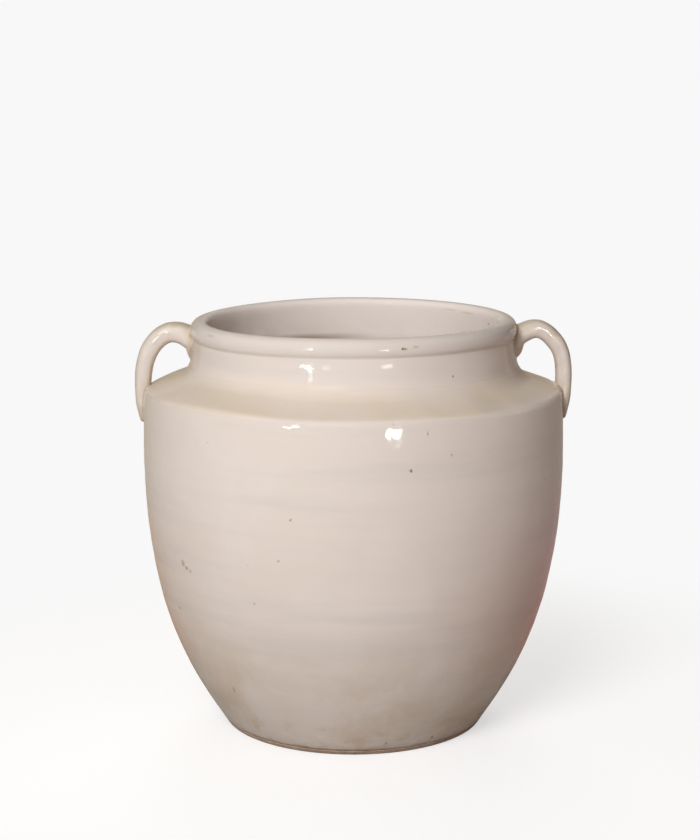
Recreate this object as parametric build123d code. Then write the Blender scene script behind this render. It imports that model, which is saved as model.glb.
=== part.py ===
from build123d import *
import os
from math import cos, radians, tan

# Two-handled storage jar of thrown, luted and glazed clay.
# Millimetres, +Z up, front towards -Y, handles along X.
# The origin is the centre of the foot, on the surface that the jar stands on.

# Outer form of the pot, from the foot upwards
FOOT_RADIUS = 112.0
BELLY_RADIUS = 180.0
BELLY_HEIGHT = 228.0
UPPER_WALL_RISE = 46.0
UPPER_WALL_INSET = 0.7
EDGE_RISE = 19.2
EDGE_INSET = 2.0
EDGE_ROUND = 8.0
SHOULDER_SLOPE = 20.0
NECK_RADIUS = 140.6
NECK_ROUND = 11.0
NECK_RISE = 30.8
NECK_LEAN = 3.9
RIM_SWELL = 2.3
RIM_SWELL_RISE = 6.4
RIM_HEIGHT = 15.4
RIM_THICKNESS = 14.5
CROWN_INSET = 8.0
LIP_ROUND = 3.0

# The wall swells from the foot to the belly.
# Each pair is a share of the widening and a share of the belly's height.
SWELL_SHARES = ((0.208, 0.0965), (0.634, 0.351), (0.944, 0.746))
FOOT_FLARE_SHARE = 0.64
UPPER_LEAN_SHARE = 0.04

# Clay thickness and the hidden inner face
WALL = 9.5
FOOT_WALL = 15.0
COVE_RADIUS = 22.0
COVE_TURN = 60.0
INNER_EDGE_ROUND = 11.0
INNER_NECK_ROUND = 10.0
THROAT_STEP = 2.5
THROAT_RISE = 6.6
QUARTER_TURN = 90.0

# Foot and floor
FOOT_RECESS = 4.0
FOOT_BAND_WIDTH = 20.0
FOOT_RING_HEIGHT = 12.0
FOOT_EDGE_ROUND = 1.2
FLOOR_SEAT = 3.0
FLOOR_LIP = 4.0
GROOVE_HEIGHT = 4.6
GROOVE_RADIUS = 0.8

# Luting joints, where one thrown section is set on the next
JOINT_BELOW_BELLY = 63.0
JOINT_BELOW_EDGE = 12.2
JOINT_ABOVE_NECK_FOOT = 6.0
TONGUE_HEIGHT = 4.0

# Levels and radii of the pot that follow from these sizes
UPPER_WALL_RADIUS = BELLY_RADIUS - UPPER_WALL_INSET
UPPER_WALL_HEIGHT = BELLY_HEIGHT + UPPER_WALL_RISE
EDGE_RADIUS = BELLY_RADIUS - EDGE_INSET
EDGE_HEIGHT = UPPER_WALL_HEIGHT + EDGE_RISE
NECK_FOOT_HEIGHT = EDGE_HEIGHT + (EDGE_RADIUS - NECK_RADIUS) * tan(radians(SHOULDER_SLOPE))
CREASE_RADIUS = NECK_RADIUS - NECK_LEAN
CREASE_HEIGHT = NECK_FOOT_HEIGHT + NECK_RISE
RIM_RADIUS = CREASE_RADIUS + RIM_SWELL
RIM_TOP = CREASE_HEIGHT + RIM_HEIGHT
MOUTH_RADIUS = RIM_RADIUS - RIM_THICKNESS
FLOOR_TOP = FOOT_RING_HEIGHT + FLOOR_LIP
FOOT_SEAT_RADIUS = FOOT_RADIUS - FOOT_BAND_WIDTH
FLOOR_EDGE_RADIUS = FOOT_SEAT_RADIUS + FLOOR_SEAT

# Handles, a coil of clay on each side, flattened where it is pressed on the wall
HANDLE_PROUD = 8.2
LEFT_HANDLE_RISE = 10.8
RIGHT_HANDLE_RISE = 13.4
CROWN_OUT = 17.5
ROOT_DEPTH = 5.0
ROOT_DROP = 8.5
ROOT_CLIMB_SHARE = 0.6
LEG_ABOVE_EDGE = 7.8
HIP_BELOW_EDGE = 11.2
LEFT_TAIL_DROP = 30.7
RIGHT_TAIL_DROP = 27.7
TAIL_LEAN_SHARE = 0.1
COIL_THICKNESS = 17.2
COIL_WIDTH = 18.5
ROOT_THICKNESS = 20.5
ROOT_WIDTH = 24.0
THROAT_THICKNESS = 18.5
THROAT_WIDTH = 20.5
BEND_THICKNESS = 16.0
LEG_THICKNESS = 14.0
TAIL_THICKNESS = 11.5
TAIL_WIDTH = 21.0
TIP_THICKNESS = 7.0
TIP_WIDTH = 13.0
QUARTER_SHARES = (0.71, 0.285)

# Ovals along a handle: share of its length, thickness and width.
COIL_OVALS_BY_SHARE = (
    (0.0, ROOT_THICKNESS, ROOT_WIDTH),
    (0.12, THROAT_THICKNESS, THROAT_WIDTH),
    (0.25, COIL_THICKNESS, COIL_WIDTH),
    (0.4, BEND_THICKNESS, COIL_WIDTH),
    (0.55, LEG_THICKNESS, COIL_WIDTH),
    (0.72, LEG_THICKNESS, COIL_WIDTH),
    (0.88, TAIL_THICKNESS, TAIL_WIDTH),
    (1.0, TIP_THICKNESS, TIP_WIDTH),
)

# Thin layer of slip between a handle, its pads and the pot
SLIP_LAYER = 0.15

# Pads of clay that lute each handle to the pot
ROOT_PAD_DEPTH = 10.0
ROOT_PAD_PROUD = 5.2
ROOT_PAD_WIDTH = 36.0
ROOT_PAD_LENGTH = 40.0
ROOT_PAD_DROP = 19.8
TAIL_PAD_DEPTH = 7.0
TAIL_PAD_PROUD = 3.2
TAIL_PAD_WIDTH = 38.0
TAIL_PAD_LENGTH = 40.0
TAIL_PAD_CLIMB = 12.0

# Length by which a cutting shape runs past what it cuts
OVERRUN = 20.0
OUTER_REACH = BELLY_RADIUS + OVERRUN


def belly_gap():
    # Widening of the pot from the foot to the belly.
    return BELLY_RADIUS - FOOT_RADIUS


def wall_points(inset, foot_inset):
    # Points of the swelling wall, moved inwards more near the foot than at the belly.
    points = []
    for widening, climb in SWELL_SHARES:
        depth = inset + (foot_inset - inset) * (1 - climb)
        points.append((FOOT_RADIUS + belly_gap() * widening - depth, BELLY_HEIGHT * climb))
    points.append((BELLY_RADIUS - inset, BELLY_HEIGHT))
    points.append((UPPER_WALL_RADIUS - inset, UPPER_WALL_HEIGHT))
    return points


def upper_tangent():
    # Direction in which the wall reaches the straight stretch under the shoulder.
    return (-UPPER_LEAN_SHARE, 1)


def inner_shoulder_height(radius):
    # Height of the shoulder's inner face, one wall below its outer face.
    slope = radians(SHOULDER_SLOPE)
    return EDGE_HEIGHT + (EDGE_RADIUS - radius) * tan(slope) - WALL / cos(slope)


def outer_outline():
    # Outer line of the pot in radius and height, from the foot to the middle of the rim's top.
    foot = (FOOT_RADIUS, 0)
    wall = Spline([foot] + wall_points(0, 0), tangents=[(FOOT_FLARE_SHARE, 1), upper_tangent()])
    edge = (EDGE_RADIUS, EDGE_HEIGHT)
    neck = (NECK_RADIUS, NECK_FOOT_HEIGHT)
    crease = (CREASE_RADIUS, CREASE_HEIGHT)
    upper = FilletPolyline([wall @ 1, edge, neck, crease], radius=[EDGE_ROUND, NECK_ROUND])
    widest = (RIM_RADIUS, CREASE_HEIGHT + RIM_SWELL_RISE)
    swell = TangentArc(widest, crease, tangent=(0, -1))
    crown = (RIM_RADIUS - CROWN_INSET, RIM_TOP)
    cap = Spline([widest, crown], tangents=[(0, 1), (-1, 0)])
    return [wall, upper, swell, cap]


def inner_outline():
    # Inner line of the pot, from the axis on the floor to the middle of the rim's top.
    bottom = Line((0, FLOOR_TOP), (FLOOR_EDGE_RADIUS, FLOOR_TOP))
    cove = JernArc(bottom @ 1, (1, 0), COVE_RADIUS, COVE_TURN)
    points = [cove @ 1] + wall_points(WALL, FOOT_WALL)[1:]
    wall = Spline(points, tangents=[cove % 1, upper_tangent()])
    edge = (EDGE_RADIUS - WALL, inner_shoulder_height(EDGE_RADIUS - WALL))
    throat_radius = MOUTH_RADIUS + THROAT_STEP
    neck = (throat_radius, inner_shoulder_height(throat_radius))
    neck_top = (throat_radius, CREASE_HEIGHT - THROAT_RISE)
    rounds = [INNER_EDGE_ROUND, INNER_NECK_ROUND]
    upper = FilletPolyline([wall @ 1, edge, neck, neck_top], radius=rounds)
    throat = Line(neck_top, (MOUTH_RADIUS, CREASE_HEIGHT))
    bore = Line(throat @ 1, (MOUTH_RADIUS, RIM_TOP - LIP_ROUND))
    lip = JernArc(bore @ 1, (0, 1), LIP_ROUND, -QUARTER_TURN)
    top = Line(lip @ 1, (RIM_RADIUS - CROWN_INSET, RIM_TOP))
    return [bottom, cove, wall, upper, throat, bore, lip, top]


def underside():
    # Lines of the underside: the recess under the floor and the foot's standing band.
    points = [(0, FLOOR_TOP), (0, FOOT_RECESS), (FOOT_SEAT_RADIUS, FOOT_RECESS)]
    return [Polyline(points + [(FOOT_SEAT_RADIUS, 0), (FOOT_RADIUS, 0)])]


def pot_section():
    # Half section of the whole pot, in radius and height.
    return make_face(outer_outline() + inner_outline() + underside())


def wall_span(section, height):
    # Inner and outer radius of the wall at one height.
    strip = section & Line((0, height), (OUTER_REACH, height))
    radii = [vertex.X for vertex in strip.vertices()]
    return min(radii), max(radii)


def joint_line(section, height):
    # Joint between two thrown sections, whose inner half stands up as a tongue.
    inside, outside = wall_span(section, height)
    middle = (inside + outside) / 2
    top = height + TONGUE_HEIGHT
    return [(0, top), (middle, top), (middle, height), (OUTER_REACH, height)]


def level_line(height):
    # Flat joint.
    return [(0, height), (OUTER_REACH, height)]


def turned(sketch):
    # Body of revolution about the jar's axis.
    return revolve(Plane.XZ * sketch, Axis.Z, 360)


def thrown_band(section, lower, upper):
    # One ring of the pot between two joints.
    return turned(section & make_face(Polyline(lower + upper[::-1], close=True)))


def floor_cut():
    # Half section of the space that the floor disc fills, with its seat on the foot ring.
    inner = [(0, 0), (FOOT_SEAT_RADIUS, 0), (FOOT_SEAT_RADIUS, FOOT_RING_HEIGHT)]
    outer = [(FLOOR_EDGE_RADIUS, FOOT_RING_HEIGHT), (FLOOR_EDGE_RADIUS, FLOOR_TOP), (0, FLOOR_TOP)]
    points = inner + outer
    return make_face(Polyline(points, close=True))


def foot_ring(section):
    # Turned foot: a bare standing band with rounded corners and one incised line.
    band = make_face(Polyline(level_line(0) + level_line(FOOT_RING_HEIGHT)[::-1], close=True))
    _, outside = wall_span(section, GROOVE_HEIGHT)
    groove = Pos(outside, GROOVE_HEIGHT) * Circle(GROOVE_RADIUS)
    ring = turned(section & band - floor_cut() - groove)
    soles = ring.faces().sort_by(Axis.Z)[0].edges()
    return fillet(soles, FOOT_EDGE_ROUND)


def base_floor(section):
    # Floor disc, resting on the foot ring by a narrow seat.
    return turned(section & floor_cut())


def outer_body():
    # Solid of the pot's outer form with its slip, which the handles are pressed on.
    outer = [Pos(SLIP_LAYER, 0) * edge for edge in outer_outline()]
    closing = Polyline([outer[-1] @ 1, (0, RIM_TOP), (0, 0), outer[0] @ 0])
    return turned(make_face(outer + [closing]))


def coil_path(top, tail):
    # Middle line of a handle, from inside the rim over the crown to the tip of its tail.
    crown = (RIM_RADIUS + CROWN_OUT, top - COIL_THICKNESS / 2)
    leg = (BELLY_RADIUS + HANDLE_PROUD - LEG_THICKNESS / 2, EDGE_HEIGHT + LEG_ABOVE_EDGE)
    across, down = QUARTER_SHARES
    bend = (crown[0] + (leg[0] - crown[0]) * across, crown[1] - (crown[1] - leg[1]) * down)
    root = (RIM_RADIUS - ROOT_DEPTH, crown[1] - ROOT_DROP)
    hip = (leg[0], EDGE_HEIGHT - HIP_BELOW_EDGE)
    points = [(radius, 0, height) for radius, height in (root, crown, bend, leg, hip, (BELLY_RADIUS, tail))]
    return Spline(points, tangents=[(1, 0, ROOT_CLIMB_SHARE), (-TAIL_LEAN_SHARE, 0, -1)])


def coil(top, tail):
    # Coil of clay, lofted through oval sections.
    path = coil_path(top, tail)
    ovals = []
    for share, thickness, width in COIL_OVALS_BY_SHARE:
        plane = Plane(origin=path @ share, x_dir=(0, 1, 0), z_dir=path % share)
        ovals.append(plane * Ellipse(width / 2, thickness / 2))
    return loft(ovals)


def pad(surface, proud, size):
    # Rounded pad of clay whose face stands proud of a surface; size is depth, width and length.
    depth, width, length = size
    ball = scale(Sphere(1), by=(depth, width / 2, length / 2))
    return Pos(surface + proud - depth, 0, 0) * ball


def handle_parts(top, tail, body):
    # One handle with the two pads that lute it to the pot.
    whole = coil(top, tail)
    root_size = (ROOT_PAD_DEPTH, ROOT_PAD_WIDTH, ROOT_PAD_LENGTH)
    root = Pos(0, 0, top - ROOT_PAD_DROP) * pad(NECK_RADIUS, ROOT_PAD_PROUD, root_size)
    tail_size = (TAIL_PAD_DEPTH, TAIL_PAD_WIDTH, TAIL_PAD_LENGTH)
    foot = Pos(0, 0, tail + TAIL_PAD_CLIMB) * pad(UPPER_WALL_RADIUS, TAIL_PAD_PROUD, tail_size)
    return whole - body, root - body - whole, foot - body - whole


def build_jar():
    # Every piece of the jar by name.
    section = pot_section()
    belly = joint_line(section, BELLY_HEIGHT - JOINT_BELOW_BELLY)
    under_shoulder = joint_line(section, EDGE_HEIGHT - JOINT_BELOW_EDGE)
    under_neck = joint_line(section, NECK_FOOT_HEIGHT + JOINT_ABOVE_NECK_FOOT)
    under_rim = level_line(CREASE_HEIGHT)
    ring_top = level_line(FOOT_RING_HEIGHT)
    top = level_line(RIM_TOP + OVERRUN)
    pieces = {
        "foot_ring": foot_ring(section),
        "base_floor": base_floor(section),
        "lower_wall": thrown_band(section - floor_cut(), ring_top, belly),
        "upper_wall": thrown_band(section, belly, under_shoulder),
        "shoulder": thrown_band(section, under_shoulder, under_neck),
        "neck": thrown_band(section, under_neck, under_rim),
        "rim": thrown_band(section, under_rim, top),
    }
    body = outer_body()
    names = ("handle", "handle_root", "handle_tail_pad")
    right = handle_parts(CREASE_HEIGHT + RIGHT_HANDLE_RISE, EDGE_HEIGHT - RIGHT_TAIL_DROP, body)
    for name, solid in zip(names, right):
        pieces["right_" + name] = solid
    left = handle_parts(CREASE_HEIGHT + LEFT_HANDLE_RISE, EDGE_HEIGHT - LEFT_TAIL_DROP, body)
    for name, solid in zip(names, left):
        pieces["left_" + name] = mirror(solid, about=Plane.YZ)
    return pieces


os.makedirs("parts", exist_ok=True)
for name, solid in build_jar().items():
    export_step(solid, "parts/" + name + ".step")
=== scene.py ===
import logging
import math
from dataclasses import dataclass
from enum import Enum
from typing import Iterable, Sequence

import bmesh
import bpy
from mathutils import Matrix, Vector, noise
from mathutils.bvhtree import BVHTree
from mathutils.geometry import interpolate_bezier


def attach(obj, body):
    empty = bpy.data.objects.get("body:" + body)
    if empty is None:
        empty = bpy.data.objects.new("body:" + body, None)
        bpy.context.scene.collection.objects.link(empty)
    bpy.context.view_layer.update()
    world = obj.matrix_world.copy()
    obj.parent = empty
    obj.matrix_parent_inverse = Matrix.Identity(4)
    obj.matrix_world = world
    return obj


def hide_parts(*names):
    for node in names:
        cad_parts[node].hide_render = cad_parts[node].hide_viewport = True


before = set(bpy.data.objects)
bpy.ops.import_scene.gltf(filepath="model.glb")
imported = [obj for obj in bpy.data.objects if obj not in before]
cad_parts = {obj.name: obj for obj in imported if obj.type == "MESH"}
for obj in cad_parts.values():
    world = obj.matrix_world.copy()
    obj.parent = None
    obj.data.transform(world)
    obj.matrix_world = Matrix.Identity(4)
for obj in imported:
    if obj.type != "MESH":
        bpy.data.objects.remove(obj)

# Wide-mouthed storage jar of thrown and glazed clay with two loop handles.
# The sizes of the clay are millimetres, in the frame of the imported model.
# Meshes, finishes and the studio are in metres, +Z up, front towards -Y, handles along X.

MM = 0.001
# Turn in radians under which a stretch counts as straight
STRAIGHT = 0.01
log = logging.getLogger("jar")

Place = tuple[float, float, float]
Direction = tuple[float, float]
Span = tuple[float, float]
Tone = tuple[float, float, float, float]


class Side(Enum):
    """Side of the jar that a handle stands on, as the sign of its X."""

    LEFT = -1.0
    RIGHT = 1.0


# ---------------------------------------------------------------- helpers


def eased(value: float, low: float, high: float) -> float:
    """Smooth step from 0 at low to 1 at high.

    Args:
        value: The number to place between the two ends.
        low: End at which the result is 0.
        high: End at which the result is 1.

    Returns:
        A number from 0 to 1.
    """
    share = min(1.0, max(0.0, (value - low) / (high - low)))
    return share * share * (3.0 - 2.0 * share)


def bend_reach(chord: float, turn: float) -> float:
    """Length of a Bezier handle for a stretch that turns evenly.

    Args:
        chord: Straight distance between the stretch's ends.
        turn: Angle between the two end directions, in radians.

    Returns:
        The handle's length, a third of the chord where the stretch is straight.
    """
    if turn < STRAIGHT:
        return chord / 3.0
    return chord * 2.0 / 3.0 * math.tan(turn / 4.0) / math.sin(turn / 2.0)


def piece_from(form: bmesh.types.BMesh, name: str) -> bpy.types.Object:
    """Makes a smooth-shaded piece at the origin from a bmesh, which is freed.

    Args:
        form: The finished mesh, in metres and in place.
        name: Name of the piece.

    Returns:
        The new object, linked to the scene.
    """
    mesh = bpy.data.meshes.new(name)
    form.to_mesh(mesh)
    form.free()
    mesh.polygons.foreach_set("use_smooth", [True] * len(mesh.polygons))
    piece = bpy.data.objects.new(name, mesh)
    bpy.context.scene.collection.objects.link(piece)
    return piece


# ---------------------------------------------------------------- turned lines


@dataclass(frozen=True)
class Knot:
    """Point of a turned line, with the directions in which the line meets and leaves it.

    The step is the spacing of the points on the stretch that leaves it.
    """

    radius: float
    height: float
    arrive: Direction
    leave: Direction | None = None
    step: float = 2.5

    def place(self) -> Vector:
        """The knot's place on the section plane, in metres."""
        return Vector((self.radius * MM, 0.0, self.height * MM))

    def heading(self, leaving: bool) -> Vector:
        """Unit direction of the line at the knot, on the section plane."""
        run, rise = self.leave if leaving and self.leave else self.arrive
        return Vector((run, 0.0, rise)).normalized()


@dataclass(frozen=True)
class TurnedLine:
    """Closed line in radius and height that is turned about the jar's axis."""

    knots: tuple[Knot, ...]
    segments: int = 264
    wire_merge: float = 0.02
    turned_merge: float = 0.01

    def wire(self) -> bmesh.types.BMesh:
        """Draws the line as Bezier stretches and gives it as one closed wire.

        Returns:
            A bmesh of vertices and edges on the section plane.
        """
        curve = bpy.data.curves.new("turned_line", "CURVE")
        curve.dimensions = "3D"
        for start, end in zip(self.knots, self.knots[1:] + self.knots[:1]):
            self.add_stretch(curve, start, end)
        carrier = bpy.data.objects.new("turned_line", curve)
        mesh = bpy.data.meshes.new_from_object(carrier)
        form = bmesh.new()
        form.from_mesh(mesh)
        bpy.data.objects.remove(carrier)
        bpy.data.curves.remove(curve)
        bpy.data.meshes.remove(mesh)
        bmesh.ops.remove_doubles(form, verts=form.verts[:], dist=self.wire_merge * MM)
        return form

    @staticmethod
    def add_stretch(curve: bpy.types.Curve, start: Knot, end: Knot) -> None:
        """Adds the Bezier stretch between two knots.

        Args:
            curve: The curve that takes the stretch.
            start: Knot that the stretch leaves; its step spaces the points.
            end: Knot that the stretch meets.
        """
        first, last = start.heading(True), end.heading(False)
        chord = (end.place() - start.place()).length
        reach = bend_reach(chord, first.angle(last))
        spline = curve.splines.new("BEZIER")
        spline.bezier_points.add(1)
        near, far = spline.bezier_points
        for point, knot in ((near, start), (far, end)):
            point.handle_left_type = point.handle_right_type = "FREE"
            point.co = knot.place()
        near.handle_right = start.place() + first * reach
        near.handle_left = start.place() - first * reach
        far.handle_left = end.place() - last * reach
        far.handle_right = end.place() + last * reach
        spline.resolution_u = max(1, round(chord / (start.step * MM)))

    def turned(self) -> bmesh.types.BMesh:
        """Turns the line a full circle about the axis.

        Returns:
            A closed shell whose faces point outwards.
        """
        form = self.wire()
        bmesh.ops.spin(
            form,
            geom=form.verts[:] + form.edges[:],
            cent=(0.0, 0.0, 0.0),
            axis=(0.0, 0.0, 1.0),
            angle=math.tau,
            steps=self.segments,
            use_merge=True,
        )
        bmesh.ops.remove_doubles(form, verts=form.verts[:], dist=self.turned_merge * MM)
        bmesh.ops.recalc_face_normals(form, faces=form.faces[:])
        return form


@dataclass(frozen=True)
class HandUnevenness:
    """Slight unevenness of a form thrown by hand and settled in the kiln.

    Spans are heights, or shares of the way to the left, over which a change sets in.
    """

    base: Span = (14.0, 60.0)
    side_bulge: float = 0.7
    wave_depth: float = 0.3
    wave_length: float = 70.0
    wave_scale: float = 1.6
    ring_depth: float = 0.16
    ring_spacing: float = 9.0
    ring_drift: float = 0.4
    ring_end: Span = (258.0, 280.0)
    rim_drop: float = 1.7
    rim_side: Span = (0.05, 0.95)
    rim_begin: Span = (306.0, 334.0)
    edge_begin: Span = (268.0, 292.0)
    edge_end: Span = (303.0, 326.0)
    # Lift of the shoulder's edge at a bearing, 0 at the front and 90 on the right
    shoulder_lifts: tuple[tuple[float, float], ...] = (
        (-180.0, 0.0),
        (-125.0, 0.8),
        (-104.0, -1.4),
        (-90.0, -0.8),
        (-70.0, 1.0),
        (-46.0, 3.4),
        (-30.0, 2.9),
        (-16.0, 1.2),
        (0.0, 1.1),
        (18.0, 2.0),
        (32.0, 1.3),
        (48.0, -0.8),
        (70.0, -1.4),
        (90.0, -1.0),
        (102.0, -1.6),
        (116.0, -3.2),
        (135.0, -2.4),
        (180.0, 0.0),
    )

    def lift(self, bearing: float) -> float:
        """Lift of the shoulder's edge at a bearing.

        Args:
            bearing: Angle about the axis in degrees, from -180 to 180.

        Returns:
            The lift in millimetres.
        """
        for (low, start), (high, end) in zip(self.shoulder_lifts, self.shoulder_lifts[1:]):
            if bearing <= high:
                return start + (end - start) * eased(bearing, low, high)
        return 0.0

    def moved(self, place: Vector) -> Vector:
        """Place of a point of the pot once the clay has settled.

        Args:
            place: The point on the true turned form, in metres.

        Returns:
            The moved point, in metres.
        """
        height = place.z / MM
        radius = math.hypot(place.x, place.y) / MM
        share = eased(height, *self.base)
        if share == 0.0:
            return place.copy()
        across, through = place.x / MM / radius, place.y / MM / radius
        spread = self.side_bulge * across * across
        spot = Vector((across, through, height / self.wave_length)) * self.wave_scale
        wave = noise.noise(spot)
        drift = self.ring_drift
        spot = Vector((across * drift, through * drift, height / self.ring_spacing))
        ring = noise.noise(spot)
        body = 1.0 - eased(height, *self.ring_end)
        push = spread + (wave - 0.5) * self.wave_depth + (ring - 0.5) * self.ring_depth * body
        drop = self.rim_drop * eased(-across, *self.rim_side) * eased(height, *self.rim_begin)
        slope = eased(height, *self.edge_begin) * (1.0 - eased(height, *self.edge_end))
        drop -= self.lift(math.degrees(math.atan2(place.x, -place.y))) * slope
        scale = (radius + push * share) / radius
        return Vector((place.x * scale, place.y * scale, place.z - drop * MM * share))

    def settle(self, form: bmesh.types.BMesh) -> None:
        """Moves every point of a turned form."""
        for vert in form.verts:
            vert.co = self.moved(vert.co)


# ---------------------------------------------------------------- finishes


@dataclass(frozen=True)
class Paint:
    """Colour as it looks on a screen, each part from 0 to 255."""

    red: float
    green: float
    blue: float

    def linear(self) -> Tone:
        """The colour as a shader takes it.

        Returns:
            Red, green and blue in linear light, from 0 to 1, and a full alpha.
        """
        parts = []
        for part in (self.red, self.green, self.blue):
            share = part / 255.0
            low = share / 12.92
            parts.append(low if share <= 0.04045 else ((share + 0.055) / 1.055) ** 2.4)
        return (parts[0], parts[1], parts[2], 1.0)


WHITE = Paint(255, 255, 255)
Socket = bpy.types.NodeSocket
Value = Socket | Paint | float | Sequence[float]


class NodeBench:
    """Short ways of laying out the nodes of one material or world."""

    def __init__(self, owner: bpy.types.ID) -> None:
        """Empties the node tree of a new material or world.

        Args:
            owner: The material or world.
        """
        self.owner = owner
        owner.use_nodes = True
        self.tree = owner.node_tree
        self.tree.nodes.clear()

    def put(self, kind: str, **settings: object) -> bpy.types.Node:
        """Adds a node and sets its plain properties.

        Args:
            kind: Type name of the node.
            **settings: Properties of the node, by name.

        Returns:
            The new node.
        """
        node = self.tree.nodes.new(kind)
        for name, value in settings.items():
            setattr(node, name, value)
        return node

    def feed(self, socket: Socket, value: Value) -> None:
        """Links a socket to another one, or gives it a constant.

        Args:
            socket: The input.
            value: The output that it is linked to, or the constant.
        """
        if isinstance(value, Socket):
            self.tree.links.new(value, socket)
        elif isinstance(value, Paint):
            socket.default_value = value.linear()
        else:
            socket.default_value = value

    def work(
        self, operation: str, first: Value, second: Value = 0.0, third: Value = 0.0
    ) -> Socket:
        """Works out a number with a Math node.

        Args:
            operation: The node's operation.
            first: First number.
            second: Second number, where the operation takes one.
            third: Third number, where the operation takes one.

        Returns:
            The result's socket.
        """
        node = self.put("ShaderNodeMath", operation=operation)
        for socket, value in zip(node.inputs, (first, second, third)):
            self.feed(socket, value)
        return node.outputs[0]

    def product(self, first: Value, *others: Value) -> Socket:
        """Multiplies two or more numbers.

        Args:
            first: The first number.
            *others: The numbers that it is multiplied by in turn.

        Returns:
            The result's socket.
        """
        result = first
        for other in others:
            result = self.work("MULTIPLY", result, other)
        return result

    def vector_work(
        self, operation: str, first: Value, second: Value, output: str = "Vector"
    ) -> Socket:
        """Works on two vectors with a Vector Math node.

        Args:
            operation: The node's operation.
            first: First vector.
            second: Second vector.
            output: Name of the output, a vector or a number.

        Returns:
            The result's socket.
        """
        node = self.put("ShaderNodeVectorMath", operation=operation)
        self.feed(node.inputs[0], first)
        self.feed(node.inputs[1], second)
        return node.outputs[output]

    def measure(
        self, operation: str, first: Value, second: Value = (0.0, 0.0, 0.0)
    ) -> Socket:
        """Number that follows from one vector or two, such as a length or a distance."""
        return self.vector_work(operation, first, second, "Value")

    def fade(
        self, value: Value, low: float, high: float, bottom: float = 0.0, top: float = 1.0
    ) -> Socket:
        """Smooth step of a value.

        Args:
            value: The value.
            low: Value at which the result is the bottom.
            high: Value at which the result is the top.
            bottom: The result at and beyond the low end.
            top: The result at and beyond the high end.

        Returns:
            The result's socket.
        """
        node = self.put("ShaderNodeMapRange", interpolation_type="SMOOTHSTEP")
        for socket, number in zip(node.inputs, (value, low, high, bottom, top)):
            self.feed(socket, number)
        return node.outputs[0]

    def mix(self, share: Value, under: Value, over: Value) -> Socket:
        """Mixes two colours.

        Args:
            share: Share of the second colour.
            under: The first colour.
            over: The second colour.

        Returns:
            The colour's socket.
        """
        node = self.put("ShaderNodeMix", data_type="RGBA", blend_type="MIX", clamp_factor=True)
        self.feed(node.inputs[0], share)
        self.feed(node.inputs[6], under)
        self.feed(node.inputs[7], over)
        return node.outputs[2]

    def bump(
        self, height: Value, depth: float, strength: float, under: Value | None = None
    ) -> Socket:
        """Bump of a height from 0 to 1.

        Args:
            height: The height.
            depth: Depth in metres that the height stands for.
            strength: How much of the bump shows.
            under: Normal of a coarser bump under it.

        Returns:
            The normal's socket.
        """
        node = self.put("ShaderNodeBump")
        self.feed(node.inputs["Height"], height)
        self.feed(node.inputs["Distance"], depth)
        self.feed(node.inputs["Strength"], strength)
        if under is not None:
            self.feed(node.inputs["Normal"], under)
        return node.outputs[0]

    def glow(self, colour: Value, strength: Value = 1.0) -> bpy.types.Node:
        """Shader that gives light of its own.

        Args:
            colour: Its colour.
            strength: Its strength.

        Returns:
            The shader's node.
        """
        node = self.put("ShaderNodeEmission")
        self.feed(node.inputs["Color"], colour)
        self.feed(node.inputs["Strength"], strength)
        return node

    def blend(self, share: Value, under: bpy.types.Node, over: bpy.types.Node) -> bpy.types.Node:
        """Mixes two shaders.

        Args:
            share: Share of the second shader.
            under: The first shader.
            over: The second shader.

        Returns:
            The mixing node.
        """
        node = self.put("ShaderNodeMixShader")
        self.feed(node.inputs[0], share)
        self.feed(node.inputs[1], under.outputs[0])
        self.feed(node.inputs[2], over.outputs[0])
        return node

    def show(self, shader: bpy.types.Node, output: str = "ShaderNodeOutputMaterial") -> bpy.types.ID:
        """Sends a shader to the surface and gives the material or world."""
        self.feed(self.put(output).inputs["Surface"], shader.outputs[0])
        return self.owner


@dataclass(frozen=True)
class Ramp:
    """Smooth step of a measure from a start to an end, kept between two amounts."""

    start: float
    end: float
    bottom: float = 0.0
    top: float = 1.0

    def share(self, bench: NodeBench, value: Value) -> Socket:
        """The step at a value."""
        return bench.fade(value, self.start, self.end, self.bottom, self.top)


@dataclass(frozen=True)
class Zone:
    """Stretch of a measure in which a finish is full, with a soft begin and end."""

    begin: Ramp
    end: Ramp

    def share(self, bench: NodeBench, value: Value) -> Socket:
        """Share of the finish at a value."""
        return bench.product(self.begin.share(bench, value), self.end.share(bench, value))


@dataclass(frozen=True)
class Cloud:
    """Cloudy pattern at a scale in repeats a metre, and the ramp by which it shows."""

    scale: float
    detail: float
    rough: float
    bend: float = 0.0
    ramp: Ramp = Ramp(0.0, 1.0)

    def plain(self, bench: NodeBench, place: Value) -> Socket:
        """The pattern itself.

        Args:
            bench: The material's bench.
            place: The coordinates that it is laid out on.

        Returns:
            The pattern's socket, from 0 to 1.
        """
        node = bench.put("ShaderNodeTexNoise")
        bench.feed(node.inputs["Vector"], place)
        bench.feed(node.inputs["Scale"], self.scale)
        bench.feed(node.inputs["Detail"], self.detail)
        bench.feed(node.inputs["Roughness"], self.rough)
        bench.feed(node.inputs["Distortion"], self.bend)
        return node.outputs[0]

    def share(self, bench: NodeBench, place: Value) -> Socket:
        """The pattern by its ramp."""
        return self.ramp.share(bench, self.plain(bench, place))


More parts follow.
